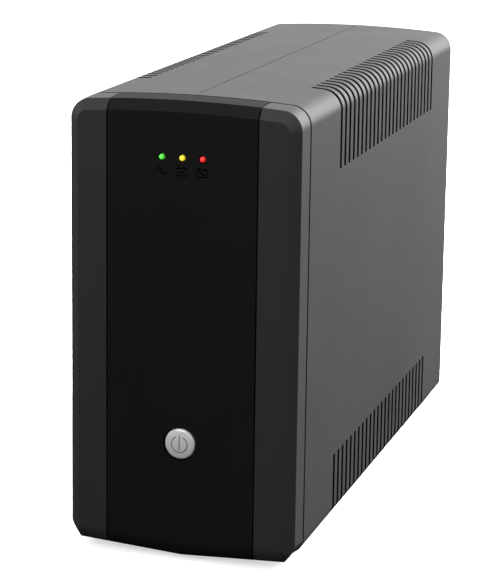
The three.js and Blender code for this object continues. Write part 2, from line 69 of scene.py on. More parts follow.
HALF = span("right_case_shell", 0)[1]
CASE_FLOOR, CASE_TOP = span("right_case_shell", 2)
FRONT = span("front_bezel", 1)[0]
SEAM, REAR = span("right_case_shell", 1)
PANEL_HALF = span("front_panel", 0)[1]
SEAM_GAP = 0.3
BEZEL_HALF = PANEL_HALF + SEAM_GAP
EASE = 0.2  # how far each piece stands back from a seam, beyond the nominal gap
SEAM_EASE = 0.85  # the same, at the shadow groove between the bezel and the case
BEZEL_BACK = SEAM - SEAM_GAP
WALL = 2.5
TOP = dict(radius=10.0, crown=1.7)
BOTTOM = dict(radius=7.0, crown=2.8)
CHAMFER = dict(depth=4.2, side=5.0, bottom=7.5)
MITRE = (4.7, 7.6)  # the straight cut of the bezel's lower corners, in x and z
VENT = dict(count=25, pitch=8.0, width=3.4, first=FRONT + 69.8,
            top_x=41.7, top_z=186.0, low_x=46.0, low_z=39.0)
BUTTON = dict(radius=7.65, hole=8.5, dish=6.4, sag=0.55, flange=1.6, stem=2.0, ring=4.0)
LAMP = dict(radius=1.4, hole=2.0, flange=0.5)
LAMPS = ("green", "yellow", "red")
REPLACED = {"left_case_shell", "right_case_shell", "front_bezel", "front_panel", "power_button"}

CAMERA = dict(lens=132.1, shift_y=-0.1411, azimuth=17.81, elevation=11.98, roll=0.80,
              place=(0.33136, -1.08155, 0.38425))
FLOOR_HALF = 25.0
LIGHTS = {  # place, target, size, watts, whether it shows in reflections
    "side_softbox": ((0.95, 0.95, 0.8), (0.05, 0.0, 0.2), (1.6, 1.3), 22, True),
    "side_wash": ((0.7, 0.75, 1.0), (0.05, 0.0, 0.2), (0.7, 0.7), 84, False),
    "front_fill": ((-0.3, -1.5, 1.15), (0, 0, 0.2), (0.9, 0.7), 13, True),
    "overhead": ((0.0, 0.6, 2.6), (0, 0.6, 0), (4.0, 4.0), 95, False),
}


# ---------------------------------------------------------------- scene, camera and light
def set_camera():
    data = bpy.data.cameras.new("camera")
    data.lens = CAMERA["lens"]
    data.shift_y = CAMERA["shift_y"]
    data.clip_end = 60
    cam = bpy.data.objects.new("camera", data)
    bpy.context.scene.collection.objects.link(cam)
    az, el, roll = (math.radians(CAMERA[key]) for key in ("azimuth", "elevation", "roll"))
    ahead = Vector((-math.sin(az) * math.cos(el), math.cos(az) * math.cos(el), -math.sin(el)))
    right = Vector((math.cos(az), math.sin(az), 0))
    up = right.cross(ahead)
    right, up = (right * math.cos(roll) + up * math.sin(roll), up * math.cos(roll) - right * math.sin(roll))
    m = Matrix.Identity(4)
    for i, column in enumerate((right, up, -ahead, Vector(CAMERA["place"]))):
        for row in range(3):
            m[row][i] = column[row]
    cam.matrix_world = m
    bpy.context.scene.camera = cam


def area_light(name, place, target, size, power, glossy):
    data = bpy.data.lights.new(name, "AREA")
    data.shape = "RECTANGLE"
    data.size, data.size_y = size
    data.energy = power
    lamp = bpy.data.objects.new(name, data)
    bpy.context.scene.collection.objects.link(lamp)
    lamp.location = place
    lamp.rotation_euler = (Vector(target) - Vector(place)).to_track_quat("-Z", "Y").to_euler()
    lamp.visible_glossy = glossy


def set_world():
    """A soft room: brightest at eye level behind the object, dim below, in front and straight overhead."""
    world = bpy.data.worlds.new("studio")
    bpy.context.scene.world = world
    world.use_nodes = True
    tree = world.node_tree
    place = tree.nodes.new("ShaderNodeTexCoord").outputs["Generated"]
    axes = tree.nodes.new("ShaderNodeSeparateXYZ")
    tree.links.new(place, axes.inputs["Vector"])

    def spread(axis, *limits):
        n = tree.nodes.new("ShaderNodeMapRange")
        n.interpolation_type = "SMOOTHSTEP"
        for key, value in zip(("From Min", "From Max", "To Min", "To Max"), limits):
            n.inputs[key].default_value = value
        tree.links.new(axes.outputs[axis], n.inputs["Value"])
        return n.outputs["Result"]

    def times(a, b):
        n = tree.nodes.new("ShaderNodeMath")
        n.operation = "MULTIPLY"
        tree.links.new(a, n.inputs[0])
        tree.links.new(b, n.inputs[1])
        return n.outputs["Value"]

    height = times(spread("Z", -0.42, 0.3, 0.02, 0.6), spread("Z", 0.45, 0.95, 1.0, 0.12))
    strength = times(height, spread("Y", -0.9, 0.6, 0.45, 1.35))
    tree.links.new(strength, tree.nodes["Background"].inputs["Strength"])
    tree.nodes["Background"].inputs["Color"].default_value = (1, 1, 1, 1)


def set_stage():
    set_world()
    bpy.context.scene.view_settings.view_transform = "Standard"
    for name, settings in LIGHTS.items():
        area_light(name, *settings)
    mesh = bpy.data.meshes.new("floor")
    corners = [(x * FLOOR_HALF, y * FLOOR_HALF, 0) for x, y in ((-1, -1), (1, -1), (1, 1), (-1, 1))]
    mesh.from_pydata(corners, [], [(0, 1, 2, 3)])
    floor = bpy.data.objects.new("floor", mesh)
    bpy.context.scene.collection.objects.link(floor)
    floor.data.materials.append(paper("floor_paper"))
    floor.visible_glossy = False
    floor.visible_diffuse = False


# ---------------------------------------------------------------- materials
class Shader:
    """A small helper for a node material that reads object coordinates."""

    def __init__(self, name):
        self.material = bpy.data.materials.new(name)
        self.material.use_nodes = True
        self.tree = self.material.node_tree
        self.bsdf = self.tree.nodes["Principled BSDF"]
        self.place = self.node("ShaderNodeTexCoord").outputs["Object"]

    def node(self, kind, **settings):
        n = self.tree.nodes.new(kind)
        for key, value in settings.items():
            setattr(n, key, value)
        return n

    def link(self, a, b):
        self.tree.links.new(a, b)

    def noise(self, scale, detail=3.0, roughness=0.55, stretch=None):
        n = self.node("ShaderNodeTexNoise")
        n.inputs["Scale"].default_value = scale
        n.inputs["Detail"].default_value = detail
        n.inputs["Roughness"].default_value = roughness
        source = self.place
        if stretch:
            mapping = self.node("ShaderNodeMapping")
            mapping.inputs["Scale"].default_value = stretch
            self.link(self.place, mapping.inputs["Vector"])
            source = mapping.outputs["Vector"]
        self.link(source, n.inputs["Vector"])
        return n.outputs["Fac"]

    def ramp(self, fac, stops):
        n = self.node("ShaderNodeValToRGB")
        ramp = n.color_ramp
        while len(ramp.elements) < len(stops):
            ramp.elements.new(0.5)
        for element, (position, colour) in zip(ramp.elements, stops):
            element.position = position
            element.color = (*colour, 1)
        self.link(fac, n.inputs["Fac"])
        return n.outputs["Color"]

    def spread(self, fac, low, high, start=0.3, end=0.7):
        n = self.node("ShaderNodeMapRange")
        for key, value in (("From Min", start), ("From Max", end), ("To Min", low), ("To Max", high)):
            n.inputs[key].default_value = value
        self.link(fac, n.inputs["Value"])
        return n.outputs["Result"]

    def mix(self, fac, a, b):
        n = self.node("ShaderNodeMix", data_type="RGBA")
        if isinstance(fac, float):
            n.inputs["Factor"].default_value = fac
        else:
            self.link(fac, n.inputs["Factor"])
        for socket, value in (("A", a), ("B", b)):
            target = next(s for s in n.inputs if s.name == socket and s.type == "RGBA")
            if isinstance(value, tuple):
                target.default_value = (*value, 1)
            else:
                self.link(value, target)
        return next(s for s in n.outputs if s.type == "RGBA")

    def colour(self, source):
        self.link(source, self.bsdf.inputs["Base Color"])

    def rough(self, source):
        self.link(source, self.bsdf.inputs["Roughness"])

    def bumps(self, *layers):
        """Each layer is (height, strength, distance in metres)."""
        normal = None
        for height, strength, distance in layers:
            n = self.node("ShaderNodeBump")
            n.inputs["Strength"].default_value = strength
            n.inputs["Distance"].default_value = distance
            self.link(height, n.inputs["Height"])
            if normal:
                self.link(normal, n.inputs["Normal"])
            normal = n.outputs["Normal"]
        self.link(normal, self.bsdf.inputs["Normal"])

    def set(self, **values):
        for key, value in values.items():
            self.bsdf.inputs[key.replace("_", " ")].default_value = value
        return self.material


def shade(colour, factor):
    return tuple(min(1.0, c * factor) for c in colour)


def paper(name):
    s = Shader(name)
    broad = s.noise(1.5)
    s.colour(s.ramp(broad, [(0.3, (0.9, 0.9, 0.9)), (0.7, (0.93, 0.93, 0.93))]))
    s.rough(s.spread(s.noise(60), 0.85, 0.95))
    s.bumps((s.noise(900), 0.08, 0.0003))
    s.bsdf.inputs["Emission Color"].default_value = (1, 1, 1, 1)
    return s.set(Specular_IOR_Level=0.1, Emission_Strength=0.6)


def moulded(name, colour, rough, grain=1900.0, depth=0.25, wear=1.7, level=0.5):
    """Injection-moulded plastic: spark-eroded grain, faint flow shade and a few handling marks."""
    s = Shader(name)
    flow = s.noise(9, 4)
    tint = s.ramp(flow, [(0.3, shade(colour, 0.9)), (0.7, shade(colour, 1.1))])
    marks = s.noise(55, 6, 0.7, (1, 1, 0.35))
    rub = s.spread(marks, 0.0, 1.0, 0.66, 0.78)
    fine = s.noise(grain, 2)
    tint = s.mix(s.spread(fine, 0.0, 0.3, 0.3, 0.7), tint, shade(colour, 1.25))
    s.colour(s.mix(rub, tint, shade(colour, wear)))
    patches = s.mix(0.5, s.spread(s.noise(26, 5), rough - 0.045, rough + 0.045),
                    s.spread(fine, rough - 0.06, rough + 0.06))
    s.rough(patches)
    s.bumps((fine, depth, 0.00008), (s.noise(grain * 0.35, 3), depth * 0.5, 0.00012))
    return s.set(Specular_IOR_Level=level)


def metal(name, colour, rough, stretch=(1, 60, 60), wear=0.75, depth=0.15):
    """Sheet or turned metal with drawn lines and dull patches."""
    s = Shader(name)
    lines = s.noise(120, 5, 0.6, stretch)
    dull = s.noise(30, 5)
    tint = s.ramp(lines, [(0.25, shade(colour, 0.88)), (0.75, shade(colour, 1.06))])
    s.colour(s.mix(s.spread(dull, 0.0, 0.55, 0.5, 0.72), tint, shade(colour, wear)))
    s.rough(s.mix(0.5, s.spread(dull, rough - 0.08, rough + 0.12),
                  s.spread(lines, rough - 0.06, rough + 0.06)))
    s.bumps((lines, depth, 0.00005), (s.noise(1400, 2), depth, 0.00003))
    return s.set(Metallic=1.0)


def lens(name, deep, bright):
    """A lit indicator: brightest in the middle of its dome and deeper towards its rim."""
    s = Shader(name)
    low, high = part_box(name)
    middle = (low + high) / 2
    split = s.node("ShaderNodeSeparateXYZ")
    s.link(s.place, split.inputs["Vector"])
    flat = s.node("ShaderNodeCombineXYZ")
    s.link(split.outputs["X"], flat.inputs["X"])
    s.link(split.outputs["Z"], flat.inputs["Y"])
    gap = s.node("ShaderNodeVectorMath", operation="DISTANCE")
    s.link(flat.outputs["Vector"], gap.inputs[0])
    gap.inputs[1].default_value = (middle.x - 0.0001, middle.z + 0.0002, 0)
    rim = s.spread(gap.outputs["Value"], 0.0, 1.0, 0.0004, 0.0015)
    cloud = s.spread(s.noise(900, 3), 0.0, 0.25)
    s.colour(s.mix(cloud, deep, shade(deep, 0.7)))
    s.link(s.mix(rim, bright, shade(deep, 0.55)), s.bsdf.inputs["Emission Color"])
    s.rough(s.spread(cloud, 0.12, 0.22, 0.0, 0.25))
    s.bumps((s.noise(1800, 2), 0.05, 0.00003))
    return s.set(Emission_Strength=1.0, Coat_Weight=0.4, Coat_Roughness=0.08)


def board_finish(name):
    """Solder mask over copper tracks."""
    s = Shader(name)
    brick = s.node("ShaderNodeTexBrick")
    brick.inputs["Scale"].default_value = 60
    brick.inputs["Mortar Size"].default_value = 0.06
    brick.inputs["Color1"].default_value = (0.012, 0.075, 0.03, 1)
    brick.inputs["Color2"].default_value = (0.016, 0.1, 0.04, 1)
    brick.inputs["Mortar"].default_value = (0.05, 0.2, 0.09, 1)
    turned = s.node("ShaderNodeMapping")
    turned.inputs["Rotation"].default_value = (0, math.radians(90), math.radians(90))
    s.link(s.place, turned.inputs["Vector"])
    s.link(turned.outputs["Vector"], brick.inputs["Vector"])
    s.colour(s.mix(s.spread(s.noise(300, 4), 0.0, 0.4), brick.outputs["Color"], (0.02, 0.06, 0.03)))
    s.rough(s.spread(s.noise(120), 0.28, 0.42))
    s.bumps((brick.outputs["Fac"], 0.3, 0.00006))
    return s.set(Coat_Weight=0.2)


def winding_finish(name):
    """Enamelled wire in close turns under varnish."""
    s = Shader(name)
    wave = s.node("ShaderNodeTexWave", bands_direction="Z")
    wave.inputs["Scale"].default_value = 260
    wave.inputs["Distortion"].default_value = 0.6
    s.link(s.place, wave.inputs["Vector"])
    tint = s.ramp(wave.outputs["Fac"], [(0.1, (0.09, 0.025, 0.008)), (0.7, (0.42, 0.15, 0.05))])
    s.colour(s.mix(s.spread(s.noise(40, 4), 0.0, 0.5), tint, (0.2, 0.08, 0.03)))
    s.rough(s.spread(s.noise(90), 0.25, 0.4))
    s.bumps((wave.outputs["Fac"], 0.6, 0.0003))
    return s.set(Metallic=0.6, Coat_Weight=0.3)


def laminations(name):
    """A stack of lacquered steel sheets, seen at their edges."""
    s = Shader(name)
    wave = s.node("ShaderNodeTexWave", bands_direction="Y")
    wave.inputs["Scale"].default_value = 320
    s.link(s.place, wave.inputs["Vector"])
    s.colour(s.ramp(wave.outputs["Fac"], [(0.2, (0.02, 0.02, 0.022)), (0.9, (0.085, 0.085, 0.09))]))
    s.rough(s.spread(s.noise(160, 4), 0.38, 0.6))
    s.bumps((wave.outputs["Fac"], 0.4, 0.0002), (s.noise(900), 0.2, 0.00005))
    return s.set(Metallic=0.4)


def silver_finish(name):
    """Satin metallic paint with a fine flake."""
    s = Shader(name)
    flake = s.noise(2600, 2)
    s.colour(s.ramp(flake, [(0.3, (0.82, 0.82, 0.81)), (0.7, (0.92, 0.92, 0.91))]))
    s.rough(s.spread(s.noise(80, 4), 0.3, 0.42))
    s.bumps((flake, 0.12, 0.00004))
    return s.set(Metallic=0.2, Coat_Weight=0.25, Coat_Roughness=0.2)


CHARCOAL = (0.028, 0.0285, 0.029)
FINISH = {
    "case_plastic": moulded("case_plastic", CHARCOAL, 0.42),
    "panel_plastic": moulded("panel_plastic", (0.0085, 0.0085, 0.0088), 0.5, 2600.0, 0.1, 1.4, 0.13),
    "button_silver": silver_finish("button_silver"),
    "lamp_green": lens("lamp_green", (0.03, 0.5, 0.02), (0.2, 1.0, 0.14)),
    "lamp_yellow": lens("lamp_yellow", (0.75, 0.62, 0.01), (1.0, 0.98, 0.1)),
    "lamp_red": lens("lamp_red", (0.62, 0.01, 0.008), (0.95, 0.07, 0.06)),
    "black_nylon": moulded("black_nylon", (0.014, 0.014, 0.015), 0.5, 1500.0, 0.3),
    "black_steel": metal("black_steel", (0.05, 0.05, 0.052), 0.45),
    "rubber": moulded("rubber", (0.012, 0.012, 0.012), 0.8, 1200.0, 0.5, 1.3, 0.3),
    "zinc_steel": metal("zinc_steel", (0.5, 0.51, 0.52), 0.34),
    "circuit_board": board_finish("circuit_board"),
    "battery_case": moulded("battery_case", (0.045, 0.05, 0.06), 0.5, 1400.0),
    "brass": metal("brass", (0.72, 0.55, 0.28), 0.28, (60, 1, 60)),
    "copper_winding": winding_finish("copper_winding"),
    "aluminium": metal("aluminium", (0.62, 0.63, 0.64), 0.36, (60, 60, 1)),
    "red_wire": moulded("red_wire", (0.42, 0.015, 0.012), 0.42, 1500.0, 0.15, 1.2),
    "black_wire": moulded("black_wire", (0.014, 0.014, 0.014), 0.45, 1500.0, 0.15, 1.3),
}
LAMINATED = laminations("laminated_steel")
# Painted shade: a near-black finish put on walls and pieces that sit in shadow (slot walls, seam lips, the
# bezel's backing, the lamps' wells) in place of their own plastic's colour.
PAINTED_SHADE = moulded("painted_shade_black", (0.004, 0.004, 0.004), 0.6, 1500.0, 0.2, 1.2, 0.2)
ICON = moulded("icon_ink", (0.001, 0.001, 0.001), 0.9, 1800.0, 0.1, 1.2, 0.0)
MARK = moulded("mark_grey", (0.16, 0.16, 0.162), 0.5, 1500.0, 0.1, 1.2)
SLOT_OF = {s["node"]: s["material_slot"] for s in frame["record"]["subparts"]}
BODY_OF = {n: b for b, ns in frame["record"]["behaviour"]["bodies"].items() for n in ns}


# ---------------------------------------------------------------- mesh helpers
def new_piece(name, verts, faces, slot, body, replaces=(), finish=None):
    mesh = bpy.data.meshes.new(name)
    mesh.from_pydata([tuple(c * MM for c in v) for v in verts], [], faces)
    mesh.validate()
    obj = bpy.data.objects.new(name, mesh)
    bpy.context.scene.collection.objects.link(obj)
    mesh.materials.append(finish or FINISH[slot])
    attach(obj, body)
    if replaces:
        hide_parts(*replaces)
    return obj


def solidify(obj, thickness):
    m = obj.modifiers.new("wall", "SOLIDIFY")
    m.thickness = thickness * MM
    m.offset = -1
    m.use_even_offset = True


def bevel(obj, width, segments=3, angle=32):
    m = obj.modifiers.new("edge", "BEVEL")
    m.width = width * MM
    m.segments = segments
    m.limit_method = "ANGLE"
    m.angle_limit = math.radians(angle)
    m.use_clamp_overlap = True


def subtract(obj, cutter):
    m = obj.modifiers.new("cut", "BOOLEAN")
    m.operation = "DIFFERENCE"
    m.solver = "EXACT"
    m.object = cutter


def baked(obj):
    bpy.context.view_layer.update()
    graph = bpy.context.evaluated_depsgraph_get()
    mesh = bpy.data.meshes.new_from_object(obj.evaluated_get(graph))
    old = obj.data
    mesh.name = obj.name
    obj.modifiers.clear()
    obj.data = mesh
    bpy.data.meshes.remove(old)
    return mesh


def settle(obj, smooth=35.0, cutters=()):
    """Applies the modifiers to the mesh, then smooths it with its sharp edges and broad faces kept."""
    mesh = baked(obj)
    for cutter in cutters:
        bpy.data.objects.remove(cutter)
    mesh.polygons.foreach_set("use_smooth", [True] * len(mesh.polygons))
    mesh.set_sharp_from_angle(angle=math.radians(smooth))
    m = obj.modifiers.new("normals", "WEIGHTED_NORMAL")
    m.keep_sharp = True
    baked(obj)
    return obj


def scratch(name, verts, faces):
    mesh = bpy.data.meshes.new(name)
    mesh.from_pydata([tuple(c * MM for c in v) for v in verts], [], faces)
    obj = bpy.data.objects.new(name, mesh)
    bpy.context.scene.collection.objects.link(obj)
    return obj


def lathe_data(profile, centre, axis, sides):
    """Points and faces of a turned form. profile: (radius, distance along axis); closed at both ends."""
    verts, faces = [], []
    a, b = [i for i in range(3) if i != axis]
    for r, d in profile:
        for i in range(sides):
            t = 2 * math.pi * i / sides
            p = [0.0, 0.0, 0.0]
            p[axis] = centre[axis] + d
            p[a] = centre[a] + r * math.cos(t)
            p[b] = centre[b] + r * math.sin(t)
            verts.append(tuple(p))
    for k in range(len(profile) - 1):
        for i in range(sides):
            j = (i + 1) % sides
            faces.append((k * sides + i, k * sides + j, (k + 1) * sides + j, (k + 1) * sides + i))
    last = (len(profile) - 1) * sides
    faces.append(tuple(range(sides))[::-1])
    faces.append(tuple(last + i for i in range(sides)))
    return verts, faces


def outward(obj):
    bm = bmesh.new()
    bm.from_mesh(obj.data)
    bmesh.ops.recalc_face_normals(bm, faces=bm.faces)
    bm.to_mesh(obj.data)
    bm.free()
    return obj


def lathe(name, profile, centre, axis, slot, body, sides=48, replaces=(), finish=None):
    verts, faces = lathe_data(profile, centre, axis, sides)
    return outward(new_piece(name, verts, faces, slot, body, replaces, finish))


def drill(radius, centre, axis, start, end, sides=48):
    verts, faces = lathe_data([(radius, start), (radius, end)], centre, axis, sides)
    return outward(scratch("drill", verts, faces))


# ---------------------------------------------------------------- case section
class Section:
    """The case's outline: an arched top, rounded corners and two flat floor slopes.

    It is shrunk by insets at its sides, top and bottom. cut, if given, is the (x, z) size of a straight
    mitre that takes the place of the lower corner's arc.
    """

    def __init__(self, side=0.0, top=None, bottom=None, cut=None):
        self.half = HALF - side
        self.top = CASE_TOP - (side if top is None else top)
        self.floor = CASE_FLOOR + (side if bottom is None else bottom)
        self.rt = max(TOP["radius"] - side, 1.5)
        self.rb = max(BOTTOM["radius"] - side, 1.5)
        self.cut = cut
        self.tt = math.atan(2 * TOP["crown"] / (self.half - self.rt))
        self.reach_t = self.half - self.rt + self.rt * math.sin(self.tt)
        self.rise_t = self.reach_t * math.tan(self.tt) / 2
        self.zt = self.top - self.rt * math.cos(self.tt) - self.rise_t
        self.tb = math.atan(BOTTOM["crown"] / (self.half - self.rb))
        self.reach_b = self.half - self.rb + self.rb * math.sin(self.tb)
        self.zb = self.floor + self.rb * math.cos(self.tb) + self.reach_b * math.tan(self.tb)
        if cut:
            self.reach_b = self.half - cut[0]

    def top_z(self, x):
        return self.top - self.rise_t * (x / self.reach_t) ** 2

    def floor_z(self, x):
        """Two slopes, eased where they meet at the centre."""
        ease = 2.0
        x = abs(x)
        slope = math.tan(self.tb)
        return self.floor + slope * (x if x > ease else (x * x / ease + ease) / 2)

    def lower_corner(self, steps):
        if not self.cut:
            for i in range(steps + 1):
                a = -(math.pi / 2 - self.tb) * i / steps
                yield self.half - self.rb + self.rb * math.cos(a), self.zb + self.rb * math.sin(a)
            return
        end = (self.half - self.cut[0], self.floor_z(self.half - self.cut[0]))
        start = (self.half, end[1] + self.cut[1])
        for i in range(steps + 1):
            t = i / steps
            yield start[0] + (end[0] - start[0]) * t, start[1] + (end[1] - start[1]) * t

    def outline(self, start, side_z, top_x=(), low_x=(), steps=14):
        """Right half, from x=start on the top, round both corners, to x=start underneath."""
        xs = sorted({start, *top_x, *(start + (self.reach_t - start) * i / 8 for i in range(8))})
        points = [(x, self.top_z(x)) for x in xs]
        for i in range(steps + 1):
            a = (math.pi / 2 - self.tt) * (1 - i / steps)
            points.append((self.half - self.rt + self.rt * math.cos(a), self.zt + self.rt * math.sin(a)))
        points += [(self.half, z) for z in side_z]
        points += list(self.lower_corner(steps))
        xs = sorted({start, *low_x, *(start + (self.reach_b - start) * i / 8 for i in range(8))})
        return points + [(x, self.floor_z(x)) for x in reversed(xs)]


def mirrored(verts, faces):
    return [(-x, y, z) for x, y, z in verts], [tuple(reversed(f)) for f in faces]


# ---------------------------------------------------------------- case halves
def in_upper_band(p):
    return p[0] >= VENT["top_x"] - 1e-6 and p[1] >= VENT["top_z"] - 1e-6


def in_lower_band(p):
    return p[0] >= VENT["low_x"] - 1e-6 and p[1] <= VENT["low_z"] + 1e-6


def shell_grid():
    """One case half as quads, with the vent slots left open."""
    s = Section()
    side = [VENT["top_z"], 150.0, 112.0, 75.0, VENT["low_z"]]
    outline = s.outline(SEAM_GAP / 2 + EASE, side, (VENT["top_x"],), (VENT["low_x"],))
    lines = [SEAM + SEAM_EASE, SEAM + 12, SEAM + 30]
    slots = []
    for i in range(VENT["count"]):
        y = VENT["first"] + i * VENT["pitch"]
        slots.append(len(lines))
        lines += [y, y + VENT["width"]]
    lines += [lines[-1] + 14, lines[-1] + 30, REAR]
    n = len(lines)
    verts = [(x, y, z) for x, z in outline for y in lines]
    faces = []
    for j in range(len(outline) - 1):
        a, b = outline[j], outline[j + 1]
        vented = (in_upper_band(a) and in_upper_band(b)) or (in_lower_band(a) and in_lower_band(b))
        for k in range(n - 1):
            if vented and k in slots:
                continue
            faces.append((j * n + k, (j + 1) * n + k, (j + 1) * n + k + 1, j * n + k + 1))
    return verts, faces


def case_halves():
    grid = shell_grid()
    for name, (verts, faces), sign in (("right", grid, 1), ("left", mirrored(*grid), -1)):
        shell = new_piece(f"case_{name}", verts, faces, "case_plastic", "case", (f"{name}_case_shell",))
        solidify(shell, WALL)
        cutters = []
        for i in range(1, 5):
            at = middle_of(f"case_screw_{i}")
            if at.x * sign < 0:
                continue
            cutters.append(drill(3.4, (at.x, at.y, 0), 2, 1.0, 7.5, 32))
            subtract(shell, cutters[-1])
            cup = [(3.4, 3.4), (3.4, 5.8), (1.8, 5.8), (1.8, 8.7), (4.6, 8.7), (4.6, 5.2)]
            screw_cup(f"screw_cup_{i}", cup, (at.x, at.y, 0))
        bevel(shell, 0.18, 2)
        settle(shell, 40, cutters)
        darken_slots(shell)


def darken_slots(shell):
    """The slots' own walls are in deep shade: they get the near-black painted-shade finish instead of the
    case plastic.
    """
    shell.data.materials.append(PAINTED_SHADE)
    end = VENT["first"] + VENT["count"] * VENT["pitch"]
    for face in shell.data.polygons:
        y = face.center.y / MM
        inside = VENT["first"] - 0.5 < y < end
        if inside and abs(face.normal.y) > 0.9:
            face.material_index = 1


def seam_lips():
    """Lips behind the seams: one round the bezel's back edge, one along the case's centre line. They are
    finished near-black, as painted shade in the seams.
    """
    s = Section(1.3)
    loop = s.outline(0.0, (150.0, 80.0))
    n = len(loop)
    verts = [(x, y, z) for y in (BEZEL_BACK - 5, SEAM + 5) for x, z in loop]
    faces = [(j, j + 1, n + j + 1, n + j) for j in range(n - 1)]
    for name, (v, f) in (("right", (verts, faces)), ("left", mirrored(verts, faces))):
        lip = new_piece(f"bezel_lip_{name}", v, f, "case_plastic", "case", (), PAINTED_SHADE)
        solidify(lip, 1.0)
        settle(lip)
    for name, height in (("top", s.top_z), ("floor", s.floor_z)):
        xs = (-2.2, -1.1, 0.0, 1.1, 2.2)
        verts = [(x, y, height(x)) for y in (SEAM + 5.3, REAR - 7) for x in xs]
        faces = [(j, j + 1, 6 + j, 5 + j) for j in range(4)]
        if name == "floor":
            faces = [tuple(reversed(f)) for f in faces]
        tongue = new_piece(f"centre_tongue_{name}", verts, faces, "case_plastic", "case", (), PAINTED_SHADE)
        solidify(tongue, 0.8)
        settle(tongue)


def screw_cup(name, profile, centre):
    verts, faces = lathe_data(profile, centre, 2, 32)
    cup = outward(new_piece(name, verts, faces[:-2], "case_plastic", "case"))
    settle(cup)


# ---------------------------------------------------------------- front bezel and panel
RINGS = [math.radians(a) for a in (0, 12, 24, 36, 48, 60, 72, 81, 90)]


def bezel_rings():
    """(y, section) from the seam to the front face; the lower edge is rounded, the rest is a flat chamfer."""
    rings = [(BEZEL_BACK - SEAM_EASE, Section()), (BEZEL_BACK - 6, Section(0, 0.1, 0, MITRE))]
    for a in RINGS:
        t = math.sin(a)
        y = FRONT + CHAMFER["depth"] * (1 - t)
        inset = CHAMFER["side"] * t
        cut = tuple(c * (1 - t) + 0.3 for c in MITRE)
        rings.append((y, Section(inset, inset + 0.5, CHAMFER["bottom"] * (1 - math.cos(a)), cut)))
    return rings


def bezel_side_grid():
    verts, faces = [], []
    for y, s in bezel_rings():
        loop = s.outline(BEZEL_HALF + EASE, (170.0, 120.0, 70.0))
        n = len(loop)
        verts += [(x, y, z) for x, z in loop]
    rows = len(verts) // n
    for k in range(rows - 1):
        for j in range(n - 1):
            a = k * n + j
            faces.append((a, a + n, a + n + 1, a + 1))
    first = (rows - 1) * n
    steps = (n - 3) // 2
    for j in range(steps - 2):
        faces.append((first + j, first + n - 1 - j, first + n - 2 - j, first + j + 1))
    faces.append(tuple(first + j for j in reversed(range(steps - 2, n - steps + 2))))
    return verts, faces


def bezel_sides():
    grid = bezel_side_grid()
    for name, (verts, faces) in (("right", grid), ("left", mirrored(*grid))):
        piece = new_piece(f"bezel_{name}", verts, faces, "case_plastic", "case", ("front_bezel",))
        solidify(piece, 2.2)
        bevel(piece, 0.32, 3, 28)
        settle(piece, 38)


def strip_grid(half, inset=0.0):
    """The band that runs over the top edge, down the front and under the lower edge."""
    columns = [-half + 2 * half * i / 28 for i in range(29)]
    rings = bezel_rings()
    verts = []
    for x in columns:
        top = [(x, y + inset, s.top_z(x) - inset) for y, s in rings]
        low = [(x, y + inset, s.floor_z(x) + inset) for y, s in reversed(rings)]
        z0, z1 = top[-1][2], low[0][2]
        middle = [(x, FRONT + inset, z0 + (z1 - z0) * t) for t in (0.25, 0.5, 0.75)]
        verts += top + middle + low
    n = len(verts) // len(columns)
    faces = []
    for i in range(len(columns) - 1):
        for k in range(n - 1):
            a = i * n + k
            faces.append((a, a + 1, a + n + 1, a + n))
    return verts, faces


def front_holes(piece, button, lamp, end):
    """Cuts the button's and the lamps' holes; gives the cutters, which go once the cuts are applied."""
    cutters = [drill(button, (0, FRONT, middle_of("power_button").z), 1, -3, end, 64)]
    for colour in LAMPS:
        at = middle_of(f"lamp_{colour}")
        cutters.append(drill(lamp, (at.x, FRONT, at.z), 1, -3, end, 32))
    for cutter in cutters:
        subtract(piece, cutter)
    return cutters


def panel():
    verts, faces = strip_grid(PANEL_HALF - EASE)
    strip = new_piece("panel", verts, faces, "panel_plastic", "case", ("front_panel",))
    solidify(strip, 1.6)
    cutters = front_holes(strip, BUTTON["hole"], LAMP["hole"], 6)
    bevel(strip, 0.25, 3, 28)
    settle(strip, 38, cutters)


def backing():
    """The bezel's own wall behind the panel, seen only through the seams and the holes; finished near-black,
    as painted shade behind them.
    """
    verts, faces = strip_grid(BEZEL_HALF + 0.6, 2.0)
    wall = new_piece("bezel_backing", verts, faces, "case_plastic", "case", (), PAINTED_SHADE)
    solidify(wall, 1.6)
    settle(wall, 38, front_holes(wall, 8.3, 1.9, 9))


# ---------------------------------------------------------------- lamps, icons and button
def lamps():
    for colour in LAMPS:
        node = f"lamp_{colour}"
        at = middle_of(node)
        y0, y1 = span(node, 1)
        r = LAMP["radius"]
        end = y1 - y0
        dome = [(0.02, 0.0), (0.5, 0.03), (0.85, 0.12), (1.12, 0.3), (1.31, 0.6), (r, 1.0), (r, end - 3)]
        base = [(r + LAMP["flange"], end - 3), (r + LAMP["flange"], end), (0.02, end)]
        settle(lathe(f"{node}_lens", dome + base, (at.x, y0, at.z), 1, node, "case", 32, (node,)), 40)
        # The lamp's well is finished near-black: painted shade, giving a dark ring round each lamp.
        ring = [(1.5, 1.5), (1.88, 1.5), (1.88, 3.2), (1.5, 3.2), (1.5, 1.5)]
        verts, faces = lathe_data(ring, (at.x, FRONT, at.z), 1, 32)
        settle(outward(new_piece(f"{node}_well", verts, faces[:-2], "black_nylon", "case", (), PAINTED_SHADE)))


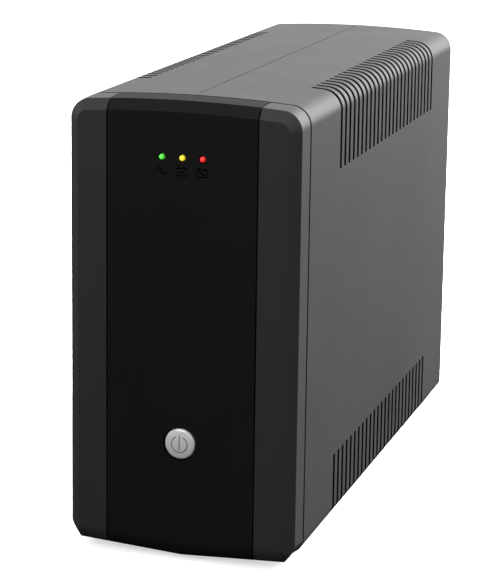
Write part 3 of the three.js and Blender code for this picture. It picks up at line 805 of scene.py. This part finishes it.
def stroke(name, points, width, y, slot, body, finish, closed=False, height=0.14):
    """An inked line of constant width, drawn in x and z, a little proud of y (a number or y(x, z))."""
    pts = [Vector(p) for p in points]
    n = len(pts)
    verts, faces = [], []
    for i, p in enumerate(pts):
        a = pts[(i - 1) % n] if closed or i else p
        b = pts[(i + 1) % n] if closed or i + 1 < n else p
        along = (b - a).normalized()
        side = Vector((-along.y, along.x)) * width / 2
        level = y(p.x, p.y) if callable(y) else y
        for q, d in ((p + side, 0), (p - side, 0), (p - side, -height), (p + side, -height)):
            verts.append((q.x, level + d, q.y))
    for i in range(n if closed else n - 1):
        a, b = i * 4, ((i + 1) % n) * 4
        for k in range(4):
            m = (k + 1) % 4
            faces.append((a + k, b + k, b + m, a + m))
    if not closed:
        faces += [(0, 1, 2, 3), tuple(4 * (n - 1) + k for k in (3, 2, 1, 0))]
    return settle(outward(new_piece(name, verts, faces, slot, body, (), finish)))


def icons():
    """Generic marks: mains wave, battery, and battery with a fault stroke."""
    y = FRONT + 0.06

    def line(name, points, width=0.5, closed=False):
        stroke(name, points, width, y, "panel_plastic", "case", ICON, closed, 0.14)

    for colour in LAMPS:
        at = middle_of(f"lamp_{colour}")
        x, z = at.x, at.z - 6.6
        if colour == "green":
            wave = [(x - 2.6 + 5.2 * i / 20, z + 1.6 * math.sin(math.pi * i / 10)) for i in range(21)]
            line("icon_mains", wave)
            continue
        box = [(x + dx, z + dz) for dx, dz in ((-2.7, -1.7), (2.7, -1.7), (2.7, 1.7), (-2.7, 1.7))]
        line(f"icon_box_{colour}", box, closed=True)
        for k, dx in enumerate((-1.4, 1.4)):
            line(f"icon_pole_{colour}_{k}", [(x + dx - 0.5, z + 2.2), (x + dx + 0.5, z + 2.2)], 0.6)
        if colour == "red":
            line("icon_fault", [(x - 1.9, z + 1.1), (x + 1.9, z - 1.1)])
        else:
            line("icon_plus", [(x - 1.2, z), (x + 1.2, z)])


def power_button():
    """A shallow-domed cap on a stem, with the power symbol following its dome."""
    at = middle_of("power_button")
    y0, y1 = span("power_button", 1)
    r, reach, sag = BUTTON["radius"], BUTTON["dish"], BUTTON["sag"]
    flange, stem, end = r + BUTTON["flange"], BUTTON["stem"], y1 - y0
    face = [(0.02 + reach * i / 12, sag * (i / 12) ** 2) for i in range(13)]
    face += [(6.9, 0.68), (7.25, 0.88), (7.5, 1.15), (7.62, 1.5), (r, 2.0)]
    skirt = [(r, 7.0), (flange, 7.0), (flange, end - 3.5), (stem, end - 3.5), (stem, end), (0.02, end)]
    cap = lathe("button_cap", face + skirt, (0, y0, at.z), 1, "button_silver", "power_button", 72,
                ("power_button",))
    settle(cap, 40)
    sweep = [math.radians(114 + 312 * i / 44) for i in range(45)]
    arc = [(BUTTON["ring"] * math.cos(a), at.z + BUTTON["ring"] * math.sin(a)) for a in sweep]
    bar = [(0, at.z - 2.9 + 7.5 * i / 12) for i in range(13)]

    def dome(x, z):
        return y0 + 0.1 + sag * (math.hypot(x, z - at.z) / reach) ** 2

    for name, points, width in (("ring", arc, 0.45), ("bar", bar, 0.5)):
        stroke(f"button_mark_{name}", points, width, dome, "button_silver", "power_button", MARK)


# ---------------------------------------------------------------- feet, rear and everything carried over
def feet():
    for place in ("front_left", "front_right", "rear_left", "rear_right"):
        node = f"foot_{place}"
        at = middle_of(node)
        z0, z1 = span(node, 2)
        pad = [(0.02, 0.7), (3.6, 0.7), (4.1, 0.45), (4.4, 0.0), (5.3, 0.0), (5.8, 0.25), (6.0, 0.8)]
        end = z1 - z0
        flare = [(6.4, end - 0.9), (6.9, end - 0.5), (6.95, end - 0.1), (6.8, end), (0.02, end)]
        settle(lathe(f"{node}_pad", pad + flare, (at.x, at.y, z0), 2, "rubber", "case", 48, (node,)), 50)


REFINED = {  # node: how far its edges are eased
    "rear_panel": 0.3,
    "fan_frame": 0.5,
    "fan_rotor": 0.3,
    "fan_guard": 0.45,
    "inlet_housing": 0.4,
    "breaker_body": 0.4,
    "breaker_nut": 0.4,
    "breaker_button": 0.35,
    "usb_port": 0.25,
    "surge_jacks": 0.4,
    "switch_plunger": 0.2,
    "base_tray": 0.3,
    "battery_lower": 0.8,
    "battery_upper": 0.8,
    "transformer_clamp": 0.3,
    "battery_strap": 0.25,
    "heat_sink": 0.25,
    "capacitor": 0.8,
    "relay_1": 0.6,
    "relay_2": 0.6,
    "battery_spacer": 0.8,
}
for i in range(1, 5):
    REFINED[f"outlet_{i}_housing"] = 0.4
    REFINED[f"outlet_{i}_core"] = 0.25
    REFINED[f"case_screw_{i}"] = 0.15
for pole in ("line", "neutral", "earth"):
    REFINED[f"inlet_pin_{pole}"] = 0.3


def refined(node, width):
    """A copy of the node's own solid with its edges eased, standing for the node."""
    source = NODES[node]
    mesh = source.data.copy()
    bm = bmesh.new()
    bm.from_mesh(mesh)
    bmesh.ops.remove_doubles(bm, verts=bm.verts, dist=1e-6)
    bmesh.ops.dissolve_limit(bm, angle_limit=math.radians(1.0), verts=bm.verts, edges=bm.edges)
    bm.to_mesh(mesh)
    bm.free()
    mesh.materials.clear()
    mesh.materials.append(FINISH[SLOT_OF[node]])
    if "custom_normal" in mesh.attributes:
        mesh.attributes.remove(mesh.attributes["custom_normal"])
    obj = bpy.data.objects.new(f"{node}_eased", mesh)
    bpy.context.scene.collection.objects.link(obj)
    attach(obj, BODY_OF[node])
    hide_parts(node)
    bevel(obj, width, 2, 30)
    settle(obj, 40)


def carried_over():
    """Eases the edges of the nodes in REFINED, and gives the other nodes that stay their materials."""
    done = REPLACED | {n for n in NODES if n.startswith(("foot_", "lamp_"))}
    for node, width in REFINED.items():
        refined(node, width)
    for node, obj in NODES.items():
        if node in done or node in REFINED:
            continue
        finish = LAMINATED if node == "transformer_core" else FINISH[SLOT_OF[node]]
        obj.data.materials.clear()
        obj.data.materials.append(finish)


def cross_recess(head, x, y, z):
    """Cuts a cross into a screw's head; gives the cutters."""
    cutters = []
    ring = ((-1, -1), (1, -1), (1, 1), (-1, 1))
    sides = [(3, 2, 1, 0), (4, 5, 6, 7), (0, 1, 5, 4), (1, 2, 6, 5), (2, 3, 7, 6), (3, 0, 4, 7)]
    for a, b in ((1.7, 0.32), (0.32, 1.7)):
        corners = [(x + sx * a, y + d, z + sz * b) for d in (0.75, 3) for sx, sz in ring]
        cutters.append(outward(scratch("driver", corners, sides)))
        subtract(head, cutters[-1])
    return cutters


def rear_screws():
    """Pan-head screws through the inlet's ears and the fan's corners."""
    inlet, fan = middle_of("inlet_housing"), middle_of("fan_guard")
    spots = [(inlet.x + dx, inlet.z, span("inlet_housing", 1)[1]) for dx in (-20, 20)]
    spots += [(fan.x + dx, fan.z + dz, span("fan_guard", 1)[1]) for dx in (-24, 24) for dz in (-24, 24)]
    profile = [(0.02, -1.2), (1.5, -1.2), (2.9, 0.0), (3.0, 0.35)]
    profile += [(2.8, 0.9), (2.2, 1.35), (1.2, 1.6), (0.02, 1.65)]
    for i, (x, z, y) in enumerate(spots):
        head = lathe(f"rear_screw_{i}", profile, (x, y, z), 1, "black_steel", "case", 32)
        settle(head, 40, cross_recess(head, x, y, z))


set_camera()
set_stage()
case_halves()
seam_lips()
bezel_sides()
panel()
backing()
lamps()
icons()
power_button()
feet()
carried_over()
rear_screws()
